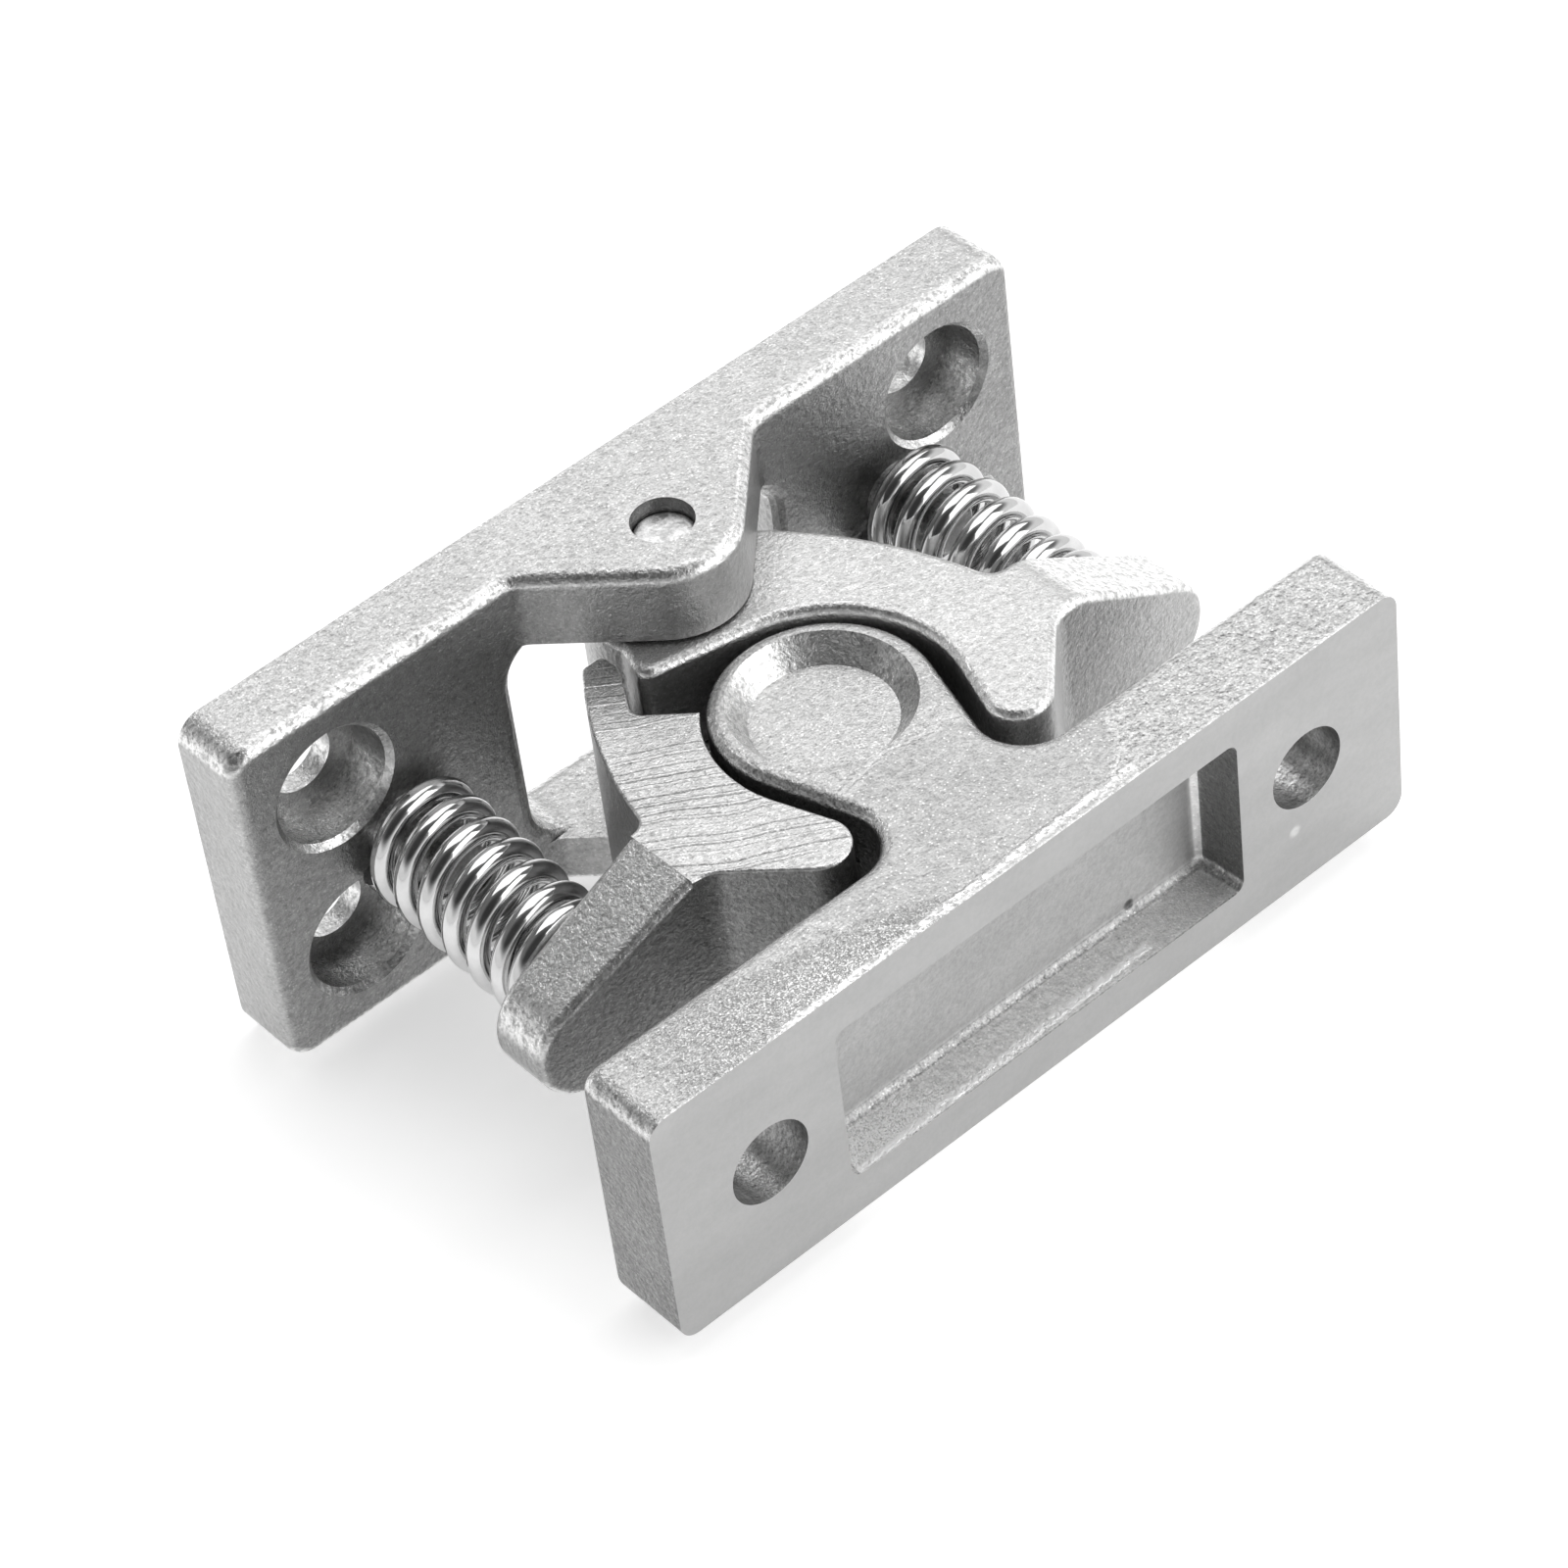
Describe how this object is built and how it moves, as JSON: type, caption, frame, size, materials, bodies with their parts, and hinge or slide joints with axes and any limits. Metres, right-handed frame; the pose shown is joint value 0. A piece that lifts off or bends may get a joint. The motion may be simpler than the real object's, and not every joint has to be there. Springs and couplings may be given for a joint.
{
  "type": "double jaw catch",
  "caption": "Heavy cast stainless cupboard catch: sprung jaws hinged between the ears of a screw-on base close about the bulb of a striker plate and let it go when pulled.",
  "frame": {"origin": "centre of the four screw holes on the base's flat mounting face", "axes": "+X along the plates, +Y out of the base's mounting face into what it is screwed to, +Z along the hinge pin; the striker leaves towards -Y"},
  "size_m": [0.061, 0.039, 0.0254],
  "materials": {
    "cast_stainless": "blasted investment casting with a fine bright grain",
    "pin_steel": "plain turned pin",
    "spring_wire": "bright drawn spring wire"
  },
  "bodies": {
    "base": {"base": "cast_stainless", "pivot_pin": "pin_steel", "left_spring": "spring_wire", "right_spring": "spring_wire"},
    "left_jaw": {"left_jaw": "cast_stainless"},
    "right_jaw": {"right_jaw": "cast_stainless"},
    "striker": {"striker": "cast_stainless"}
  },
  "joints": [
    {"name": "striker_slide", "type": "slide", "parent": "base", "child": "striker", "axis": [0, -1, 0], "range_m": [0, 0.008]},
    {"name": "left_jaw_pivot", "type": "hinge", "parent": "base", "child": "left_jaw", "pos_m": [0, -0.0077, 0], "axis": [0, 0, -1], "range_deg": [0, 5], "stiffness_Nm_per_rad": 2.3, "springref_deg": -3.44, "deforming": ["left_spring"]},
    {"name": "right_jaw_pivot", "type": "hinge", "parent": "base", "child": "right_jaw", "pos_m": [0, -0.0077, 0], "axis": [0, 0, 1], "range_deg": [0, 5], "stiffness_Nm_per_rad": 2.3, "springref_deg": -3.44, "deforming": ["right_spring"]}
  ],
  "couplings": [
    {"joint": "left_jaw_pivot", "follows": "striker_slide", "rad_per_m": 8.7266},
    {"joint": "right_jaw_pivot", "follows": "striker_slide", "rad_per_m": 8.7266}
  ]
}
